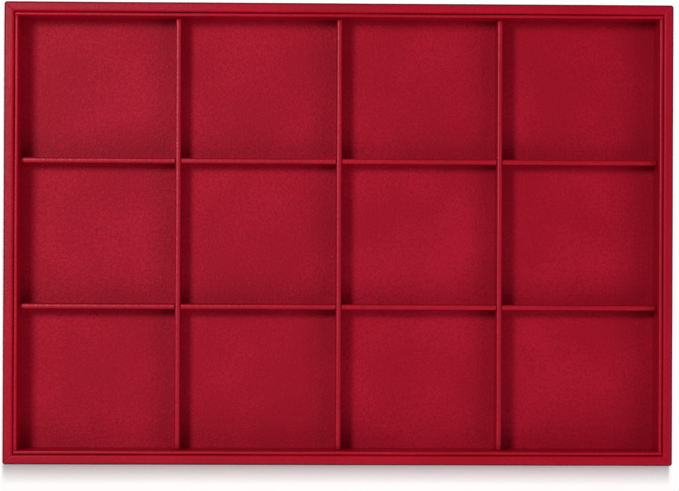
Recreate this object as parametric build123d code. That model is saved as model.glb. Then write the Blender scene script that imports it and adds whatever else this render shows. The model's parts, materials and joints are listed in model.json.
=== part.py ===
from build123d import *
import os

# Jewelry display tray: a wrapped frame tray with a lift-out insert of twelve compartments.
# Millimetres. X runs left to right, Y front to rear, Z up.
# The origin is the middle of the underside, on the table.

# Outside of the tray
tray_length = 350.0
tray_width = 241.5
tray_height = 30.0

# Tray frame: a board rail wrapped in leatherette, on a board base
rail_thickness = 4.0
rail_edge_radius = 0.5
wrap_thickness = 0.6
wrap_flap_reach = 14.0
wrap_foot_radius = 0.9
upright_corner_radius = 1.0
base_thickness = 3.0
rabbet_depth = 2.0
bottom_lining_thickness = 0.7
bottom_lining_inset = 2.5
bottom_lining_corner_radius = 2.0
well_lining_thickness = 0.3
lining_clearance = 0.3

# Brads that pin the frame's mitres, two to a corner
brad_radius = 0.6
brad_length = 16.0
brad_head_radius = 1.0
brad_head_thickness = 0.6
brad_edge_distance = 7.5

# Compartment insert
insert_clearance = 0.3
liner_board_thickness = 1.0
liner_skin_thickness = 0.45
liner_board_edge_radius = 0.45
skin_flap_reach = 9.0
floor_board_thickness = 1.5
floor_cover_thickness = 0.45

# Dividers, cross-lapped like an egg crate
columns = 4
rows = 3
divider_core_thickness = 1.9
divider_skin_thickness = 0.45
divider_core_edge_radius = 0.55
divider_height = 15.2
divider_end_clearance = 0.3
slot_clearance = 0.3
lap_clearance = 0.2

# A rounded top edge takes at most this share of its strip's thickness
roundest_edge = 0.48

# Heights, from the table up
flap_bottom = bottom_lining_thickness
rail_bottom = flap_bottom + wrap_thickness
rail_top = tray_height - wrap_thickness
base_top = rail_bottom + base_thickness
insert_bottom = base_top + well_lining_thickness
floor_board_bottom = insert_bottom + liner_skin_thickness
floor_board_top = floor_board_bottom + floor_board_thickness
compartment_floor = floor_board_top + floor_cover_thickness
liner_board_top = tray_height - liner_skin_thickness
divider_top = compartment_floor + divider_height

# Distances inward from the tray's outer faces
wall_thickness = rail_thickness + 2 * wrap_thickness
rail_outer = wrap_thickness
rail_inner = rail_outer + rail_thickness
rabbet_face = rail_inner - rabbet_depth
insert_edge = wall_thickness + insert_clearance
liner_thickness = liner_board_thickness + 2 * liner_skin_thickness
liner_board_edge = insert_edge + liner_skin_thickness
liner_board_inner = liner_board_edge + liner_board_thickness
liner_inner = insert_edge + liner_thickness
skin_flap_end = insert_edge + skin_flap_reach

# A skin's outside radius follows the board that it wraps
wrap_edge_radius = rail_edge_radius + wrap_thickness
liner_edge_radius = liner_board_edge_radius + liner_skin_thickness
divider_edge_radius = divider_core_edge_radius + divider_skin_thickness

# Space inside the liners, and the dividers that share it out
inside_length = tray_length - 2 * liner_inner
inside_width = tray_width - 2 * liner_inner
divider_thickness = divider_core_thickness + 2 * divider_skin_thickness
cell_length = (inside_length - (columns - 1) * divider_thickness) / columns
cell_width = (inside_width - (rows - 1) * divider_thickness) / rows
cross_divider_places = [
    -inside_length / 2 + n * cell_length + (n - 0.5) * divider_thickness for n in range(1, columns)
]
long_divider_places = [
    -inside_width / 2 + n * cell_width + (n - 0.5) * divider_thickness for n in range(1, rows)
]
slot_width = divider_thickness + 2 * slot_clearance
lap_height = compartment_floor + divider_height / 2


# Basic shapes

def block(x_low, x_high, y_low, y_high, z_low, z_high):
    """A box between two corners."""
    size = (x_high - x_low, y_high - y_low, z_high - z_low)
    middle = ((x_low + x_high) / 2, (y_low + y_high) / 2, (z_low + z_high) / 2)
    return Pos(*middle) * Box(*size)


def centred_sheet(length, width, z_low, z_high, corner_radius=0.0):
    """A flat sheet about the tray's middle, with optional rounded corners."""
    outline = Rectangle(length, width)
    if corner_radius > 0:
        outline = fillet(outline.vertices(), corner_radius)
    return Pos(0, 0, z_low) * extrude(outline, z_high - z_low)


def section_strip(run_length, inward_low, inward_high, z_low, z_high, top_radius=0.0):
    """A strip along X whose cross-section is a rectangle, rounded on its two top edges.

    Y is the distance inward from the tray's outer face.
    """
    strip = block(-run_length / 2, run_length / 2, inward_low, inward_high, z_low, z_high)
    radius = min(top_radius, roundest_edge * (inward_high - inward_low))
    if radius > 0:
        top_edges = strip.edges().filter_by(Axis.X).group_by(Axis.Z)[-1]
        strip = fillet(top_edges, radius)
    return strip


def plan_prism(points, z_low, z_high):
    """A prism over a plan outline."""
    return Pos(0, 0, z_low) * extrude(make_face(Polyline(*points, close=True)), z_high - z_low)


def mitre(strip, length, reach, z_low, z_high):
    """Cut a strip's two ends at 45 degrees, as at the corners of a picture frame."""
    half = length / 2
    outline = [(-half, 0), (half, 0), (half - reach, reach), (-half + reach, reach)]
    return strip & plan_prism(outline, z_low, z_high)


def at_side(solid, side):
    """Carry a strip from the X axis to its side of the tray, inward turned towards the middle."""
    turn = {"front": 0, "right": 90, "rear": 180, "left": 270}[side]
    reach = tray_width / 2 if side in ("front", "rear") else tray_length / 2
    return Rot(0, 0, turn) * Pos(0, -reach, 0) * solid


def side_length(side):
    """The tray's outside length along one side."""
    return tray_length if side in ("front", "rear") else tray_width


# Tray frame

def wall_board(side):
    """A frame rail with rounded top edges, a rabbet for the base and mitred ends."""
    length = side_length(side)
    rail = section_strip(length, rail_outer, rail_inner, rail_bottom, rail_top, rail_edge_radius)
    rabbet = section_strip(length, rabbet_face, rail_inner, rail_bottom, base_top)
    return mitre(rail - rabbet, length, rail_inner, rail_bottom, rail_top)


def wall_wrap(side):
    """The rail's leatherette: outer face, rim and inner face, and a flap turned under the base."""
    length = side_length(side)
    envelope = section_strip(length, 0, wall_thickness, flap_bottom, tray_height, wrap_edge_radius)
    envelope += section_strip(length, 0, wrap_flap_reach, flap_bottom, rail_bottom)
    foot_edge = envelope.edges().filter_by(Axis.X).group_by(Axis.Z)[0].sort_by(Axis.Y)[0]
    envelope = fillet(foot_edge, wrap_foot_radius)
    rail = section_strip(length, rail_outer, rail_inner, rail_bottom, rail_top, rail_edge_radius)
    base = section_strip(length, rabbet_face, wrap_flap_reach, rail_bottom, base_top)
    return mitre(envelope - rail - base, length, wrap_flap_reach, flap_bottom, tray_height)


def brad(x, y, z, direction):
    """A headed brad whose head lies flush in the rail's outer face."""
    shank = Pos(0, 0, brad_length / 2) * Cylinder(brad_radius, brad_length)
    head = Pos(0, 0, brad_head_thickness / 2) * Cylinder(brad_head_radius, brad_head_thickness)
    turn = -90 if direction > 0 else 90
    return Pos(x, y, z) * Rot(turn, 0, 0) * (shank + head)


def all_brads():
    """Two brads through each mitre, driven from the front and rear faces."""
    x = tray_length / 2 - (rail_outer + rail_inner) / 2
    y = tray_width / 2 - rail_outer
    brads = []
    for z in (rail_bottom + brad_edge_distance, rail_top - brad_edge_distance):
        for x_sign in (-1, 1):
            brads.append(brad(x_sign * x, -y, z, 1))
            brads.append(brad(x_sign * x, y, z, -1))
    return brads


# Compartment insert

def liner_run(side):
    """The front and rear liners run full length, and the side liners stand between them."""
    if side in ("front", "rear"):
        return tray_length - 2 * insert_edge
    return tray_width - 2 * liner_inner


def liner_board(side):
    """The greyboard strip inside a liner."""
    run = liner_run(side) - 2 * liner_skin_thickness
    return section_strip(run, liner_board_edge, liner_board_inner, floor_board_bottom,
                         liner_board_top, liner_board_edge_radius)


def liner_flap(side):
    """The skin's turned-under edge, mitred to its neighbours'."""
    half = side_length(side) / 2
    step = half - liner_inner
    if side in ("front", "rear"):
        outer = half - insert_edge
        points = [(-outer, insert_edge), (outer, insert_edge), (outer, liner_inner), (step, liner_inner)]
    else:
        points = [(-step, insert_edge), (step, insert_edge), (step, liner_inner)]
    points += [(half - skin_flap_end, skin_flap_end), (-half + skin_flap_end, skin_flap_end)]
    points.append((-step, liner_inner))
    if side in ("front", "rear"):
        points.append((-outer, liner_inner))
    return plan_prism(points, insert_bottom, floor_board_bottom)


def liner_skin(side):
    """A liner's leatherette: both faces, the rounded top, the ends and the flap under the floor."""
    envelope = section_strip(liner_run(side), insert_edge, liner_inner, floor_board_bottom,
                             tray_height, liner_edge_radius)
    seat_run = side_length(side) - 2 * liner_board_inner
    floor_seat = section_strip(seat_run, liner_board_inner, liner_inner, floor_board_bottom,
                               compartment_floor)
    return envelope - liner_board(side) - floor_seat + liner_flap(side)


def floor_panel(z_low, z_high):
    """A sheet that fills the space between the liner boards."""
    length = tray_length - 2 * liner_board_inner
    width = tray_width - 2 * liner_board_inner
    return centred_sheet(length, width, z_low, z_high)


# Dividers

def divider_envelope(run):
    """A divider's outside, along X, with rounded top edges."""
    half = divider_thickness / 2
    return section_strip(run, -half, half, compartment_floor, divider_top, divider_edge_radius)


def divider_inside(run):
    """The core under the skin, closed in at both ends."""
    half = divider_core_thickness / 2
    core_run = run - 2 * divider_skin_thickness
    core_top = divider_top - divider_skin_thickness
    return section_strip(core_run, -half, half, compartment_floor, core_top, divider_core_edge_radius)


def crossing_slots(places, z_low, z_high):
    """Slots across a divider, one at each divider that it meets."""
    reach = divider_thickness
    half = slot_width / 2
    return [block(x - half, x + half, -reach, reach, z_low, z_high) for x in places]


def cut_all(solid, cutters):
    """A solid less every cutter."""
    for cutter in cutters:
        solid = solid - cutter
    return solid


def divider_pair(run, slots):
    """A divider's core and skin, both cut by the same slots."""
    core = divider_inside(run)
    skin = divider_envelope(run) - core
    return cut_all(core, slots), cut_all(skin, slots)


def cross_divider(place):
    """A front-to-back divider, whole along its top and slotted from below."""
    run = inside_width - 2 * divider_end_clearance
    slots = crossing_slots(long_divider_places, compartment_floor, lap_height + lap_clearance)
    core, skin = divider_pair(run, slots)
    spot = Pos(place, 0, 0) * Rot(0, 0, 90)
    return spot * core, spot * skin


def long_divider(place):
    """A left-to-right divider, slotted from above where the cross dividers drop in."""
    run = inside_length - 2 * divider_end_clearance
    slots = crossing_slots(cross_divider_places, lap_height - lap_clearance, divider_top)
    core, skin = divider_pair(run, slots)
    spot = Pos(0, place, 0)
    return spot * core, spot * skin


# Build every piece

pieces = {}
sides = ("front", "rear", "left", "right")
brads = all_brads()
rounded_outside = centred_sheet(tray_length, tray_width, 0, tray_height, upright_corner_radius)

for side in sides:
    pieces[side + "_wall_board"] = cut_all(at_side(wall_board(side), side), brads)
    pieces[side + "_wall_wrap"] = at_side(wall_wrap(side), side) & rounded_outside
pieces["corner_brads"] = Compound(children=brads)

base_length = tray_length - 2 * rabbet_face
base_width = tray_width - 2 * rabbet_face
pieces["base_board"] = centred_sheet(base_length, base_width, rail_bottom, base_top)

infill_edge = wrap_flap_reach + lining_clearance
pieces["underside_infill"] = centred_sheet(
    tray_length - 2 * infill_edge, tray_width - 2 * infill_edge, flap_bottom, rail_bottom)

pieces["bottom_lining"] = centred_sheet(
    tray_length - 2 * bottom_lining_inset, tray_width - 2 * bottom_lining_inset,
    0, bottom_lining_thickness, bottom_lining_corner_radius)

well_edge = wall_thickness + lining_clearance
pieces["well_lining"] = centred_sheet(
    tray_length - 2 * well_edge, tray_width - 2 * well_edge, base_top, insert_bottom)

for side in sides:
    pieces[side + "_liner_board"] = at_side(liner_board(side), side)
    pieces[side + "_liner_skin"] = at_side(liner_skin(side), side)

pieces["insert_floor_board"] = floor_panel(floor_board_bottom, floor_board_top)
pieces["insert_floor_cover"] = floor_panel(floor_board_top, compartment_floor)

backing_edge = skin_flap_end + lining_clearance
pieces["insert_backing"] = centred_sheet(
    tray_length - 2 * backing_edge, tray_width - 2 * backing_edge, insert_bottom, floor_board_bottom)

for number, place in enumerate(cross_divider_places, start=1):
    core, skin = cross_divider(place)
    pieces[f"cross_divider_core_{number}"] = core
    pieces[f"cross_divider_skin_{number}"] = skin

for number, place in enumerate(long_divider_places, start=1):
    core, skin = long_divider(place)
    pieces[f"long_divider_core_{number}"] = core
    pieces[f"long_divider_skin_{number}"] = skin

os.makedirs("parts", exist_ok=True)
for name, solid in pieces.items():
    export_step(solid, f"parts/{name}.step")
    box = solid.bounding_box()
    print(f"{name}: {len(solid.solids())} solids, {box.size.X:.2f} x {box.size.Y:.2f} x {box.size.Z:.2f} mm")
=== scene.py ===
import bmesh
import bpy
import json
import math
from mathutils import Matrix, Vector, noise

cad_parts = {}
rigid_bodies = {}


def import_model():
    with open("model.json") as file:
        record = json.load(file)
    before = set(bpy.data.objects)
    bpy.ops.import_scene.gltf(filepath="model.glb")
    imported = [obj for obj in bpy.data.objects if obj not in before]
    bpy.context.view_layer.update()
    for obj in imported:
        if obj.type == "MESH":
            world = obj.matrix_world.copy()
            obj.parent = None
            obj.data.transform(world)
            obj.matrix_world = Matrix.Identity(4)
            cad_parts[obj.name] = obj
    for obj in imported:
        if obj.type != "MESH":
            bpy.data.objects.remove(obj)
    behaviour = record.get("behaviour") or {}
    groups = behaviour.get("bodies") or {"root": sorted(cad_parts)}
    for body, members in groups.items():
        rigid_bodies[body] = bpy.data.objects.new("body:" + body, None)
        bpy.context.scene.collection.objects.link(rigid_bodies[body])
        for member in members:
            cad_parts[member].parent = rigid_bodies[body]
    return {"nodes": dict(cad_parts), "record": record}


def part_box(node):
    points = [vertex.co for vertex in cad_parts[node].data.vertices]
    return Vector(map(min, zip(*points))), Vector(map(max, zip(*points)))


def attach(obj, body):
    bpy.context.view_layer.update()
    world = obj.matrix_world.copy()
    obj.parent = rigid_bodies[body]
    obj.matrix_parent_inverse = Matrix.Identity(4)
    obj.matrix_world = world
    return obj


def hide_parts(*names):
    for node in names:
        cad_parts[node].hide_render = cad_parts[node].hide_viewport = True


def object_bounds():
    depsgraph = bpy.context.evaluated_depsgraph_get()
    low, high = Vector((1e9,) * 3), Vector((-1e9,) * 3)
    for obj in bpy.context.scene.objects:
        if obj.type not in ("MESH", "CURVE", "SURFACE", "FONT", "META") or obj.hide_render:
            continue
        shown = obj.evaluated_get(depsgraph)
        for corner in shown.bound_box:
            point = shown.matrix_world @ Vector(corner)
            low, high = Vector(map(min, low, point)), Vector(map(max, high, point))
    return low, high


# Jewelry display tray: leatherette over boards, seen from straight above.
# Metres. X runs left to right, Y front to rear, Z up.

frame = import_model()
cad_low, cad_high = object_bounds()
MM = 0.001

# Sizes read from the frame
wrap_low, wrap_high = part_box("left_wall_wrap")
rail_low, rail_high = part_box("left_wall_board")
_, base_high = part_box("base_board")
liner_low, liner_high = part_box("left_liner_skin")
strip_low, strip_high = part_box("left_liner_board")
cover_low, cover_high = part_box("insert_floor_cover")
floor_board_low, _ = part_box("insert_floor_board")

half_length = cad_high.x
half_width = cad_high.y
rim_height = cad_high.z
wrap_thickness = rail_low.x - wrap_low.x
wall_thickness = rail_high.x + wrap_thickness + half_length
wrap_flap_reach = wrap_high.x - wrap_low.x
wrap_bottom = wrap_low.z
wrap_inner_foot = base_high.z
skin_thickness = strip_low.x - liner_low.x
liner_outer = liner_low.x + half_length
liner_inner = strip_high.x + skin_thickness + half_length
liner_flap_end = liner_high.x + half_length
insert_bottom = liner_low.z
liner_board_bottom = floor_board_low.z
liner_board_top = rim_height - skin_thickness
compartment_floor = cover_high.z

# Rounded edges
wrap_shoulder_radius = 1.2 * MM
wrap_foot_radius = 0.9 * MM
upright_corner_radius = 1.4 * MM
liner_shoulder_radius = 0.9 * MM
liner_foot_radius = 0.6 * MM
divider_shoulder_radius = 0.95 * MM
divider_top_crown = 0.05 * MM
end_rounding = 0.25 * MM
liner_end_pull = 0.7 * end_rounding
divider_end_pull = 0.8 * end_rounding

# Hand-made unevenness: how far each skin wanders, and how low its top lies for it
wrap_ripple = 0.05 * MM
liner_ripple = 0.10 * MM
liner_top_ripple = 0.8 * liner_ripple
liner_top_sag = 0.08 * MM
divider_ripple = 0.07 * MM
divider_top_sag = 0.10 * MM
floor_ripple = 0.05 * MM
top_only_power = 4
wrap_seed, liner_seed, cross_divider_seed, long_divider_seed = 1.0, 11.0, 21.0, 31.0
liner_rise_seed, divider_rise_seed = 5.5, 2.5
corner_fade = 20 * MM
slow_wave, slow_seed_step, slow_layer = 35 * MM, 7.3, 0.5
quick_wave, quick_seed_step, quick_layer = 9 * MM, 3.1, 4.5
quick_share = 0.35
floor_wave, floor_layer = 30 * MM, 1.7

# Folds, slots and the room kept round each core
mitre_crease_depth = 0.10 * MM
mitre_crease_width = 0.7 * MM
slot_margin = 0.3 * MM
lap_margin = 0.2 * MM
core_top_margin = 0.25 * MM
past_edge = 1 * MM

# Mesh density
station_spacing = 2.5 * MM
ring_spacing = 0.8 * MM
divider_ring_spacing = 0.7 * ring_spacing
arc_steps = 6
first_end_step = 0.3
corner_setback = 1 * MM
corner_shares = [0.4, 0.65, 0.8, 0.88, 0.92, 0.95, 0.97, 0.985, 1.0]
same_point = 1e-7
hair = 1e-6
sharp_angle = math.radians(35)


# Outlines and sweeps

def split_line(start, end, spacing):
    """Points along a straight line, both ends in."""
    count = max(1, math.ceil((end - start).length / spacing))
    return [start.lerp(end, i / count) for i in range(count + 1)]


def bent_path(corners, radii, spacing):
    """Points along a path with rounded corners, each with its outward normal (left of travel)."""
    points = []

    def add_straight(start, end):
        along = (end - start).normalized()
        normal = Vector((-along.y, along.x))
        for spot in split_line(start, end, spacing):
            if not points or (points[-1][0] - spot).length > same_point:
                points.append((spot, normal))

    start = Vector(corners[0])
    for i, radius in enumerate(radii, start=1):
        corner = Vector(corners[i])
        before = (corner - Vector(corners[i - 1])).normalized()
        after = (Vector(corners[i + 1]) - corner).normalized()
        turn = before.angle_signed(after)
        setback = radius * math.tan(abs(turn) / 2)
        add_straight(start, corner - before * setback)
        left = Vector((-before.y, before.x))
        side = 1 if turn > 0 else -1
        centre = corner - before * setback - left * radius * side
        for step in range(1, arc_steps + 1):
            normal = Matrix.Rotation(-turn * step / arc_steps, 2) @ left
            points.append((centre + normal * radius * side, normal))
        start = corner + after * setback
    add_straight(start, Vector(corners[-1]))
    return points


def fix_normals(obj):
    """Point every face outward."""
    work = bmesh.new()
    work.from_mesh(obj.data)
    bmesh.ops.recalc_face_normals(work, faces=work.faces)
    work.to_mesh(obj.data)
    work.free()


def mesh_object(name, vertices, faces):
    """A new object in the scene."""
    mesh = bpy.data.meshes.new(name)
    mesh.from_pydata(vertices, [], faces)
    mesh.validate()
    obj = bpy.data.objects.new(name, mesh)
    bpy.context.scene.collection.objects.link(obj)
    return obj


def closed_object(name, vertices, faces):
    """A new closed solid in the scene, with its faces pointing outward."""
    obj = mesh_object(name, vertices, faces)
    fix_normals(obj)
    return obj


def smooth_by_angle(obj):
    """Smooth shading that keeps the sharp edges."""
    for polygon in obj.data.polygons:
        polygon.use_smooth = True
    obj.data.set_sharp_from_angle(angle=sharp_angle)


def sweep(name, ring_size, station_count, spot, caps):
    """A closed tube: spot(station, ring index) gives each vertex, and caps lists the end faces."""
    vertices = [spot(s, r) for s in range(station_count) for r in range(ring_size)]
    faces = []
    for s in range(station_count - 1):
        for r in range(ring_size):
            following = (r + 1) % ring_size
            faces.append((s * ring_size + r, s * ring_size + following,
                          (s + 1) * ring_size + following, (s + 1) * ring_size + r))
    last = (station_count - 1) * ring_size
    for cap in caps:
        faces.append(tuple(cap))
        faces.append(tuple(last + i for i in reversed(cap)))
    return closed_object(name, vertices, faces)


def ripple(place, seed, amplitude):
    """Slow hand-made unevenness along a run, with a little quicker one on top."""
    slow = noise.noise(Vector((place / slow_wave, seed * slow_seed_step, slow_layer)))
    quick = noise.noise(Vector((place / quick_wave, seed * quick_seed_step, quick_layer)))
    return amplitude * (slow + quick_share * quick)


def run_stations(run_half):
    """Places along a skin's run, closer together at its rounded ends."""
    straight_half = run_half - end_rounding
    close = run_half - end_rounding * first_end_step
    stops = split_line(Vector((-straight_half, 0)), Vector((straight_half, 0)), station_spacing)
    return [-run_half, -close] + [stop.x for stop in stops] + [close, run_half]


def pulled_in(x, run_half, pull):
    """How far a skin draws in as its run comes to an end."""
    near_end = max(0.0, 1 - (run_half - abs(x)) / end_rounding)
    return pull * near_end ** 2


def half_side(side):
    """Half the length of the tray's side."""
    return half_length if side in ("front", "rear") else half_width


def side_matrix(side):
    """From a strip's own axes (along, inward, up) to its side of the tray."""
    turn = {"front": 0, "right": 90, "rear": 180, "left": 270}[side]
    reach = half_width if side in ("front", "rear") else half_length
    return (Matrix.Rotation(math.radians(turn), 4, "Z")
            @ Matrix.Translation((0, -reach, 0)))


def block(low, high):
    """A plain box, used only as a cutter."""
    corners = [(x, y, z) for z in (low[2], high[2])
               for y in (low[1], high[1]) for x in (low[0], high[0])]
    faces = [(0, 2, 3, 1), (4, 5, 7, 6), (0, 1, 5, 4), (2, 6, 7, 3), (0, 4, 6, 2), (1, 3, 7, 5)]
    return closed_object("cutter", corners, faces)


def cut(obj, cutters):
    """Take each cutter from a piece, and throw the cutters away."""
    for cutter in cutters:
        change = obj.modifiers.new("cut", "BOOLEAN")
        change.operation = "DIFFERENCE"
        change.solver = "EXACT"
        change.object = cutter
    bpy.context.view_layer.update()
    graph = bpy.context.evaluated_depsgraph_get()
    mesh = bpy.data.meshes.new_from_object(obj.evaluated_get(graph))
    obj.modifiers.clear()
    obj.data = mesh
    for cutter in cutters:
        bpy.data.objects.remove(cutter)
    fix_normals(obj)


# Frame wraps

def wall_wrap(side, seed):
    """Leatherette folded round one rail, with mitred ends that round the tray's uprights."""
    half = half_side(side)
    radius = upright_corner_radius
    corners = [(wrap_flap_reach, wrap_bottom), (0, wrap_bottom), (0, rim_height),
               (wall_thickness, rim_height), (wall_thickness, wrap_inner_foot)]
    radii = [wrap_foot_radius, wrap_shoulder_radius, wrap_shoulder_radius]
    outside = bent_path(corners, radii, ring_spacing)
    inside = [(spot - normal * wrap_thickness, normal) for spot, normal in outside]
    ring = [(spot, normal, 1.0) for spot, normal in outside]
    ring += [(spot, normal, 0.0) for spot, normal in reversed(inside)]
    count = len(outside)
    caps = [(i, i + 1, 2 * count - 2 - i, 2 * count - 1 - i) for i in range(count - 1)]

    straight_half = half - wrap_flap_reach - corner_setback
    along = split_line(Vector((-straight_half, 0)), Vector((straight_half, 0)), station_spacing)
    stations = [(-1, share) for share in reversed(corner_shares)]
    stations += [(0, spot.x) for spot in along]
    stations += [(1, share) for share in corner_shares]

    def spot(station, index):
        (inward, height), normal, weight = ring[index]
        end, share = stations[station]
        if end == 0:
            x = share
            to_mitre = 1.0
        else:
            bend = radius - inward
            arc = bend * math.pi / 4 if bend > 0 else 0.0
            stop = half - max(inward, radius)
            run = stop - straight_half + arc
            gone = run * share
            to_mitre = min(1.0, (run - gone) / mitre_crease_width)
            round_corner = gone - (stop - straight_half)
            if round_corner <= 0:
                x = straight_half + gone
            else:
                angle = round_corner / bend
                x = stop + bend * math.sin(angle)
                inward = radius - bend * math.cos(angle)
            x *= end
        fade = min(1.0, (half - abs(x)) / corner_fade)
        push = weight * ripple(x, seed, wrap_ripple) * fade
        upward = max(0.0, normal.y) ** 2
        crease = weight * upward * mitre_crease_depth * (1 - to_mitre) ** 2
        inward += normal.x * push
        height += normal.y * push - crease
        return (x, max(0.0, inward), min(height, rim_height))

    obj = sweep(f"{side}_wrap_leather", len(ring), len(stations), spot, caps)
    obj.data.transform(side_matrix(side))
    smooth_by_angle(obj)
    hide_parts(f"{side}_wall_wrap")
    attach(obj, "tray")
    return obj


# Insert liners

def liner_wrap(side, seed):
    """One liner's leatherette: rounded over the strip, closed ends, turned under the floor."""
    half = half_side(side)
    run_half = half - (liner_outer if side in ("front", "rear") else liner_inner)
    corners = [(liner_flap_end, insert_bottom), (liner_outer, insert_bottom),
               (liner_outer, rim_height), (liner_inner, rim_height),
               (liner_inner, compartment_floor)]
    radii = [liner_foot_radius, liner_shoulder_radius, liner_shoulder_radius]
    under_floor = [(liner_inner - skin_thickness, compartment_floor),
                   (liner_inner - skin_thickness, liner_board_bottom),
                   (liner_flap_end, liner_board_bottom)]
    ring = bent_path(corners, radii, ring_spacing)
    ring += [(Vector(place), Vector((0, 0))) for place in under_floor]
    stations = run_stations(run_half)

    def spot(station, index):
        (inward, height), normal = ring[index]
        x = stations[station]
        draw_in = pulled_in(x, run_half, liner_end_pull)
        if inward > liner_inner:
            limit = half - inward
            x = max(-limit, min(limit, x))
            draw_in = 0.0
        lean = ripple(x, seed, liner_ripple)
        rise = ripple(x, seed + liner_rise_seed, liner_top_ripple) - liner_top_sag
        share = max(0.0, (height - compartment_floor) / (rim_height - compartment_floor))
        inward += share * lean - normal.x * draw_in
        height += share ** top_only_power * rise - normal.y * draw_in
        return (x, inward, min(height, rim_height))

    obj = sweep(f"{side}_liner_leather", len(ring), len(stations), spot, [range(len(ring))])
    core_half = run_half - skin_thickness
    core = block((-core_half, liner_outer + skin_thickness, liner_board_bottom),
                 (core_half, liner_inner - skin_thickness, liner_board_top - core_top_margin))
    cut(obj, [core])
    obj.data.transform(side_matrix(side))
    smooth_by_angle(obj)
    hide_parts(f"{side}_liner_skin")
    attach(obj, "insert")
    return obj


# Dividers

def divider_leather(name, core_name, crossing_boxes, slots_from_below, along_x, seed):
    """A divider's leatherette: rounded shoulders, a faint crown, wrapped ends and lap slots."""
    low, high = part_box(name)
    core_low, core_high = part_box(core_name)
    middle = (low + high) / 2
    along, sideways = (0, 1) if along_x else (1, 0)
    run_half = (high[along] - low[along]) / 2
    half = (high[sideways] - low[sideways]) / 2
    core_run_half = (core_high[along] - core_low[along]) / 2
    core_half = (core_high[sideways] - core_low[sideways]) / 2
    crown_half = half - divider_shoulder_radius + hair

    corners = [(-half, low.z), (-half, high.z), (half, high.z), (half, low.z)]
    ring = bent_path(corners, [divider_shoulder_radius] * 2, divider_ring_spacing)
    stations = run_stations(run_half)

    def spot(station, index):
        (across, height), normal = ring[index]
        x = stations[station]
        draw_in = pulled_in(x, run_half, divider_end_pull)
        share = max(0.0, (height - low.z) / (high.z - low.z))
        lean = ripple(x, seed, divider_ripple)
        rise = ripple(x, seed + divider_rise_seed, divider_ripple) - divider_top_sag
        if abs(across) < crown_half and height > low.z + past_edge:
            height += divider_top_crown * (1 - (across / crown_half) ** 2)
        across += share * lean - normal.x * draw_in
        height += share ** top_only_power * rise - normal.y * draw_in
        return (x, across, min(height, high.z))

    obj = sweep(name.replace("skin", "leather"), len(ring), len(stations), spot,
                [range(len(ring))])
    cutters = [block((-core_run_half, -core_half, low.z - past_edge),
                     (core_run_half, core_half, core_high.z - core_top_margin))]
    lap = (low.z + high.z) / 2
    if slots_from_below:
        slot_low, slot_high = low.z - 2 * past_edge, lap + lap_margin
    else:
        slot_low, slot_high = lap - lap_margin, high.z + 2 * past_edge
    reach = 2 * half
    for box_low, box_high in crossing_boxes:
        there = (box_low[along] + box_high[along]) / 2 - middle[along]
        slot_half = (box_high[along] - box_low[along]) / 2 + slot_margin
        cutters.append(block((there - slot_half, -reach, slot_low),
                             (there + slot_half, reach, slot_high)))
    cut(obj, cutters)
    turn = Matrix.Identity(4) if along_x else Matrix.Rotation(math.radians(90), 4, "Z")
    obj.data.transform(Matrix.Translation((middle.x, middle.y, 0)) @ turn)
    smooth_by_angle(obj)
    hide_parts(name)
    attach(obj, "insert")
    return obj


# Compartment floor

def floor_leather():
    """The floor sheet, very slightly uneven where it is glued down."""
    size = cover_high - cover_low
    columns = math.ceil(size.x / station_spacing)
    rows = math.ceil(size.y / station_spacing)
    flat, uneven = [], []
    for j in range(rows + 1):
        for i in range(columns + 1):
            x = cover_low.x + size.x * i / columns
            y = cover_low.y + size.y * j / rows
            wave = noise.noise(Vector((x / floor_wave, y / floor_wave, floor_layer)))
            flat.append((x, y, cover_low.z))
            uneven.append((x, y, cover_high.z + floor_ripple * (wave - 1) / 2))
    width = columns + 1
    layer = width * (rows + 1)
    faces = []
    for j in range(rows):
        for i in range(columns):
            a = j * width + i
            faces.append((a, a + width, a + width + 1, a + 1))
            faces.append((layer + a, layer + a + 1, layer + a + width + 1, layer + a + width))
    for i in range(columns):
        far = rows * width + i
        faces.append((i, i + 1, layer + i + 1, layer + i))
        faces.append((far + 1, far, layer + far, layer + far + 1))
    for j in range(rows):
        a = j * width
        b = a + columns
        faces.append((a + width, a, layer + a, layer + a + width))
        faces.append((b, b + width, layer + b + width, layer + b))
    obj = closed_object("floor_leather", flat + uneven, faces)
    smooth_by_angle(obj)
    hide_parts("insert_floor_cover")
    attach(obj, "insert")
    return obj


# Materials

# Painted shade on the rim's outer shoulder: which slopes it takes, and its band from the outer
# edge inward
black, white = (0, 0, 0), (1, 1, 1)
painted_shade_steepness = [(0.02, black), (0.12, white), (0.80, white), (0.98, black)]
painted_shade_band = (-1.4 * MM, -0.7 * MM)

# Grain of the leatherette, per metre
pebble_scale = 780.0
fine_scale = 2200.0
crease_scale = 420.0
mottle_scale = 24.0
grain_depth = 0.13 * MM
crease_gloss = 0.06
satin_tint = (0.86, 0.86, 1.0, 1.0)


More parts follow.
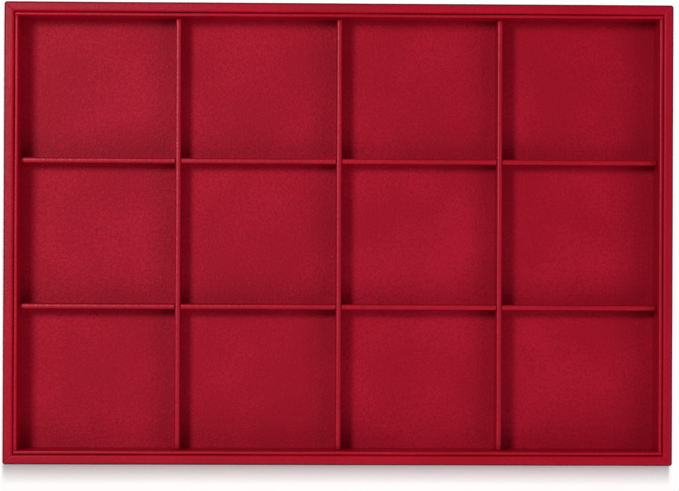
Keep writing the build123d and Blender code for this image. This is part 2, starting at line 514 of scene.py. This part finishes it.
class Nodes:
    """A short way to write a material's node tree."""

    def __init__(self, name):
        self.material = bpy.data.materials.new(name)
        self.material.use_nodes = True
        self.tree = self.material.node_tree
        self.shader = self.tree.nodes["Principled BSDF"]

    def add(self, kind, **settings):
        node = self.tree.nodes.new(kind)
        for key, value in settings.items():
            setattr(node, key, value)
        return node

    def link(self, source, target):
        self.tree.links.new(source, target)

    def place(self, scale=(1, 1, 1)):
        """The piece's own coordinates, stretched."""
        coordinates = self.add("ShaderNodeTexCoord")
        mapping = self.add("ShaderNodeMapping")
        mapping.inputs["Scale"].default_value = scale
        self.link(coordinates.outputs["Object"], mapping.inputs["Vector"])
        return mapping.outputs["Vector"]

    def noise(self, vector, scale, detail=2.0, roughness=0.5):
        node = self.add("ShaderNodeTexNoise")
        node.inputs["Scale"].default_value = scale
        node.inputs["Detail"].default_value = detail
        node.inputs["Roughness"].default_value = roughness
        self.link(vector, node.inputs["Vector"])
        return node.outputs["Fac"]

    def cells(self, vector, scale):
        node = self.add("ShaderNodeTexVoronoi", feature="F1")
        node.inputs["Scale"].default_value = scale
        self.link(vector, node.inputs["Vector"])
        return node.outputs["Distance"]

    def span(self, value, low, high, to_low, to_high):
        """Carry a value from one range to another."""
        node = self.add("ShaderNodeMapRange")
        for socket, number in (("From Min", low), ("From Max", high),
                               ("To Min", to_low), ("To Max", to_high)):
            node.inputs[socket].default_value = number
        self.link(value, node.inputs["Value"])
        return node.outputs["Result"]

    def ramp(self, value, stops):
        """A colour for each value, from (position, colour) stops."""
        node = self.add("ShaderNodeValToRGB")
        elements = node.color_ramp.elements
        while len(elements) < len(stops):
            elements.new(0.5)
        for element, (position, colour) in zip(elements, stops):
            element.position = position
            element.color = (*colour, 1.0)
        self.link(value, node.inputs["Fac"])
        return node.outputs["Color"]

    def sum(self, first, second, weight):
        """first + weight * second."""
        node = self.add("ShaderNodeMath", operation="MULTIPLY_ADD")
        node.inputs[1].default_value = weight
        self.link(second, node.inputs[0])
        self.link(first, node.inputs[2])
        return node.outputs["Value"]

    def math(self, operation, first, second=None):
        """A Math node fed by sockets or plain numbers."""
        node = self.add("ShaderNodeMath", operation=operation)
        for socket, value in zip(node.inputs, (first, second)):
            if value is None:
                continue
            if isinstance(value, (int, float)):
                socket.default_value = value
            else:
                self.link(value, socket)
        return node.outputs["Value"]

    def paint_outer_edge_shade(self, colour, here, painted_shade_colour):
        """Paint shade onto the rounded shoulder along the tray's outer edge."""
        surface = self.add("ShaderNodeNewGeometry")
        lean = self.add("ShaderNodeSeparateXYZ")
        self.link(surface.outputs["Normal"], lean.inputs["Vector"])
        steep = self.ramp(lean.outputs["Z"], painted_shade_steepness)
        place = self.add("ShaderNodeSeparateXYZ")
        self.link(here, place.inputs["Vector"])
        past_x = self.math("SUBTRACT", self.math("ABSOLUTE", place.outputs["X"]), half_length)
        past_y = self.math("SUBTRACT", self.math("ABSOLUTE", place.outputs["Y"]), half_width)
        outer = self.span(self.math("MAXIMUM", past_x, past_y), *painted_shade_band, 0.0, 1.0)
        mix = self.add("ShaderNodeMix", data_type="RGBA")
        first_colour, second_colour, mixed = mix.inputs[6], mix.inputs[7], mix.outputs[2]
        second_colour.default_value = (*painted_shade_colour, 1.0)
        self.link(self.math("MULTIPLY", steep, outer), mix.inputs["Factor"])
        self.link(colour, first_colour)
        return mixed

    def bump(self, height, distance, strength):
        node = self.add("ShaderNodeBump")
        node.inputs["Distance"].default_value = distance
        node.inputs["Strength"].default_value = strength
        self.link(height, node.inputs["Height"])
        self.link(node.outputs["Normal"], self.shader.inputs["Normal"])


def leatherette(name, dark, plain, light, roughness, specular, bump, painted_edge_shade=None):
    """Fine pebbled grain with softer creases, even colour and a low satin finish, with painted
    shade on the outer shoulder if asked.
    """
    m = Nodes(name)
    here = m.place()
    pebble = m.cells(here, pebble_scale)
    fine = m.noise(here, fine_scale, detail=3.0, roughness=0.6)
    crease = m.noise(here, crease_scale, detail=4.0, roughness=0.65)
    mottle = m.noise(here, mottle_scale, detail=2.0)
    height = m.sum(m.sum(pebble, fine, 0.4), crease, 0.6)
    tone = m.sum(m.sum(mottle, crease, 0.4), pebble, -0.6)
    colour = m.ramp(tone, [(0.3, dark), (0.5, plain), (0.7, light)])
    if painted_edge_shade is not None:
        colour = m.paint_outer_edge_shade(colour, here, painted_edge_shade)
    m.link(colour, m.shader.inputs["Base Color"])
    dull, glossy = roughness + crease_gloss, roughness - crease_gloss
    m.link(m.span(crease, 0.3, 0.7, dull, glossy), m.shader.inputs["Roughness"])
    m.shader.inputs["Specular IOR Level"].default_value = specular
    m.shader.inputs["Specular Tint"].default_value = satin_tint
    m.bump(height, grain_depth, bump)
    return m.material


def raw_board(name, dark, light, fibre_scale=900.0):
    """Fibreboard, greyboard or lining paper: flecked fibres, matt."""
    m = Nodes(name)
    here = m.place((1.0, 1.0, 2.5))
    fleck = m.noise(here, fibre_scale, detail=5.0, roughness=0.7)
    cloud = m.noise(here, 60.0, detail=2.0)
    tone = m.sum(fleck, cloud, 0.4)
    m.link(m.ramp(tone, [(0.4, dark), (1.0, light)]), m.shader.inputs["Base Color"])
    m.link(m.span(fleck, 0.3, 0.7, 0.95, 0.8), m.shader.inputs["Roughness"])
    m.shader.inputs["Specular IOR Level"].default_value = 0.2
    m.bump(fleck, 0.08 * MM, 0.5)
    return m.material


def flocked_lining(name, dark, light):
    """Short pile lining on the underside: matt, with a soft sheen and pressed patches."""
    m = Nodes(name)
    here = m.place()
    pile = m.noise(here, 3200.0, detail=4.0, roughness=0.75)
    pressed = m.noise(here, 45.0, detail=3.0)
    tone = m.sum(pressed, pile, 0.5)
    m.link(m.ramp(tone, [(0.4, dark), (1.1, light)]), m.shader.inputs["Base Color"])
    m.link(m.span(pressed, 0.3, 0.7, 0.98, 0.85), m.shader.inputs["Roughness"])
    m.shader.inputs["Specular IOR Level"].default_value = 0.15
    m.shader.inputs["Sheen Weight"].default_value = 0.3
    m.shader.inputs["Sheen Roughness"].default_value = 0.5
    m.bump(pile, 0.1 * MM, 0.6)
    return m.material


def drawn_wire(name, dark, light):
    """Bright wire with fine draw lines."""
    m = Nodes(name)
    here = m.place((1.0, 0.05, 1.0))
    lines = m.noise(here, 9000.0, detail=2.0)
    m.link(m.ramp(lines, [(0.3, dark), (0.7, light)]), m.shader.inputs["Base Color"])
    m.link(m.span(lines, 0.3, 0.7, 0.42, 0.28), m.shader.inputs["Roughness"])
    m.shader.inputs["Metallic"].default_value = 1.0
    m.bump(lines, 0.02 * MM, 0.3)
    return m.material


def paint(obj, material):
    obj.data.materials.clear()
    obj.data.materials.append(material)


skin_reds = ((0.44, 0.0022, 0.017), (0.48, 0.0030, 0.020), (0.52, 0.0040, 0.024))
# The floor's copy of the same leatherette red is darker: painted shade for the recessed floor,
# which the walls keep from part of the light
floor_reds_painted_shade = ((0.385, 0.0032, 0.019), (0.44, 0.0046, 0.024), (0.485, 0.0064, 0.030))
# Dark red painted as shade on the rim's outer shoulder
painted_shoulder_shade_red = (0.11, 0.003, 0.012)
rim_red = leatherette("red_rim_leatherette", *skin_reds, roughness=0.44, specular=0.18, bump=0.5,
                      painted_edge_shade=painted_shoulder_shade_red)
red = leatherette("red_leatherette", *skin_reds, roughness=0.38, specular=0.32, bump=0.5)
floor_red_painted_shade = leatherette("red_floor_leatherette", *floor_reds_painted_shade, roughness=0.52, specular=0.12,
                        bump=0.8)
fibreboard = raw_board("fibreboard", (0.34, 0.24, 0.14), (0.52, 0.40, 0.26))
greyboard = raw_board("greyboard", (0.25, 0.23, 0.20), (0.42, 0.39, 0.35), fibre_scale=700.0)
lining = flocked_lining("underside_flock", (0.012, 0.011, 0.012), (0.04, 0.037, 0.04))
paper = raw_board("well_paper", (0.20, 0.008, 0.016), (0.30, 0.02, 0.03), fibre_scale=1500.0)
wire = drawn_wire("brad_wire", (0.38, 0.38, 0.39), (0.62, 0.62, 0.64))

slot_materials = {
    "leatherette": red, "frame_board": fibreboard, "greyboard": greyboard,
    "underside_lining": lining, "well_paper": paper, "brad_steel": wire,
}
for row in frame["record"]["subparts"]:
    paint(frame["nodes"][row["node"]], slot_materials[row["material_slot"]])

# The pieces

for number, side in enumerate(("front", "rear", "left", "right")):
    paint(wall_wrap(side, wrap_seed + number), rim_red)
    paint(liner_wrap(side, liner_seed + number), red)

cross_names = [f"cross_divider_skin_{n}" for n in (1, 2, 3)]
long_names = [f"long_divider_skin_{n}" for n in (1, 2)]
cross_boxes = [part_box(name) for name in cross_names]
long_boxes = [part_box(name) for name in long_names]
for number, name in enumerate(cross_names):
    paint(divider_leather(name, name.replace("skin", "core"), long_boxes, slots_from_below=True,
                          along_x=False, seed=cross_divider_seed + number), red)
for number, name in enumerate(long_names):
    paint(divider_leather(name, name.replace("skin", "core"), cross_boxes, slots_from_below=False,
                          along_x=True, seed=long_divider_seed + number), red)
paint(floor_leather(), floor_red_painted_shade)

# Table top under the tray

table_half = 3.0
table_glow = 0.18
table_whites = ((0.86, 0.86, 0.87), (0.88, 0.88, 0.88))


def table_top():
    """A white table top that keeps the tray's shadow, and glows a little where it is seen."""
    corners = [(-table_half, -table_half, 0), (table_half, -table_half, 0),
               (table_half, table_half, 0), (-table_half, table_half, 0)]
    obj = mesh_object("table_top", corners, [(0, 1, 2, 3)])
    m = Nodes("table_white")
    here = m.place()
    m.link(m.ramp(m.noise(here, 30.0), [(0.3, table_whites[0]), (0.7, table_whites[1])]),
           m.shader.inputs["Base Color"])
    m.shader.inputs["Roughness"].default_value = 0.9
    m.shader.inputs["Specular IOR Level"].default_value = 0.0
    glow = m.add("ShaderNodeEmission")
    glow.inputs["Strength"].default_value = table_glow
    dark = m.add("ShaderNodeEmission")
    dark.inputs["Strength"].default_value = 0.0
    ray = m.add("ShaderNodeLightPath")
    seen = m.sum(m.sum(ray.outputs["Is Camera Ray"], ray.outputs["Is Glossy Ray"], 1.0),
                 ray.outputs["Is Transmission Ray"], 1.0)
    either = m.add("ShaderNodeMixShader")
    m.link(seen, either.inputs["Fac"])
    m.link(dark.outputs["Emission"], either.inputs[1])
    m.link(glow.outputs["Emission"], either.inputs[2])
    total = m.add("ShaderNodeAddShader")
    m.link(m.shader.outputs["BSDF"], total.inputs[0])
    m.link(either.outputs["Shader"], total.inputs[1])
    m.link(total.outputs["Shader"], m.tree.nodes["Material Output"].inputs["Surface"])
    paint(obj, m.material)
    return obj


table = table_top()

# Light

tray_only = bpy.data.collections.new("lit_tray")
table_only = bpy.data.collections.new("lit_table")
for obj in list(bpy.context.scene.objects):
    if obj.type == "MESH":
        (table_only if obj == table else tray_only).objects.link(obj)


def area_light(name, place, aim, size, watts, receivers, glossy):
    """A rectangular lamp that lights only its receivers."""
    data = bpy.data.lights.new(name, "AREA")
    data.shape = "RECTANGLE"
    data.size, data.size_y = size
    data.energy = watts
    obj = bpy.data.objects.new(name, data)
    bpy.context.scene.collection.objects.link(obj)
    obj.location = place
    obj.rotation_mode = "QUATERNION"
    obj.rotation_quaternion = (Vector(aim) - Vector(place)).to_track_quat("-Z", "Y")
    obj.light_linking.receiver_collection = receivers
    obj.visible_glossy = glossy


# Name, place, aim, size, watts, what it lights, whether gloss shows it
tray_middle = (0.0, 0.0, 0.0)
table_behind = (0.0, 0.26, 0.0)
key_place = (-0.465, 0.25, 1.0)
lamps = [
    ("key", key_place, tray_middle, (0.2, 0.2), 5.6, tray_only, True),
    ("key_halo", key_place, tray_middle, (0.5, 0.5), 0.6, tray_only, True),
    ("right_fill", (0.94, 0.15, 1.2), tray_middle, (1.2, 0.8), 3.3, tray_only, False),
    ("front_fill", (-0.25, -1.0, 1.2), tray_middle, (0.8, 1.3), 2.8, tray_only, False),
    ("corner_fill", (0.85, -0.85, 1.2), tray_middle, (1.2, 1.2), 7.2, tray_only, False),
    ("table_light", (0.0, 0.26, 1.7), table_behind, (0.1, 0.75), 28.0, table_only, True),
]
for lamp in lamps:
    area_light(*lamp)

ambient_strength = 0.075
backdrop_strength = 1.0
world = bpy.data.worlds.new("studio")
bpy.context.scene.world = world
world.use_nodes = True
tree = world.node_tree
ambient = tree.nodes["Background"]
ambient.inputs["Color"].default_value = (1.0, 1.0, 1.0, 1.0)
ambient.inputs["Strength"].default_value = ambient_strength
backdrop = tree.nodes.new("ShaderNodeBackground")
backdrop.inputs["Strength"].default_value = backdrop_strength
ray = tree.nodes.new("ShaderNodeLightPath")
either = tree.nodes.new("ShaderNodeMixShader")
tree.links.new(ray.outputs["Is Camera Ray"], either.inputs["Fac"])
tree.links.new(ambient.outputs["Background"], either.inputs[1])
tree.links.new(backdrop.outputs["Background"], either.inputs[2])
tree.links.new(either.outputs["Shader"], tree.nodes["World Output"].inputs["Surface"])

# Camera, straight above, a little to the left and turned a fraction of a degree (radians)

picture_width = 679
focal_pixels = 2623.7
sensor_width = 36.0
camera_place = (-31.3 * MM, -10.3 * MM, 1400.0 * MM)
camera_pitch = -0.0032
camera_roll = 0.0230
camera_twist = -0.0043

camera_data = bpy.data.cameras.new("camera")
camera_data.sensor_width = sensor_width
camera_data.lens = sensor_width * focal_pixels / picture_width
camera = bpy.data.objects.new("camera", camera_data)
bpy.context.scene.collection.objects.link(camera)
to_camera = (Matrix.Rotation(camera_twist, 3, "Z")
             @ Matrix.Rotation(camera_roll, 3, "Y")
             @ Matrix.Rotation(camera_pitch, 3, "X"))
camera.rotation_mode = "QUATERNION"
camera.rotation_quaternion = to_camera.transposed().to_quaternion()
camera.location = camera_place
bpy.context.scene.camera = camera

bpy.context.scene.view_settings.view_transform = "Standard"
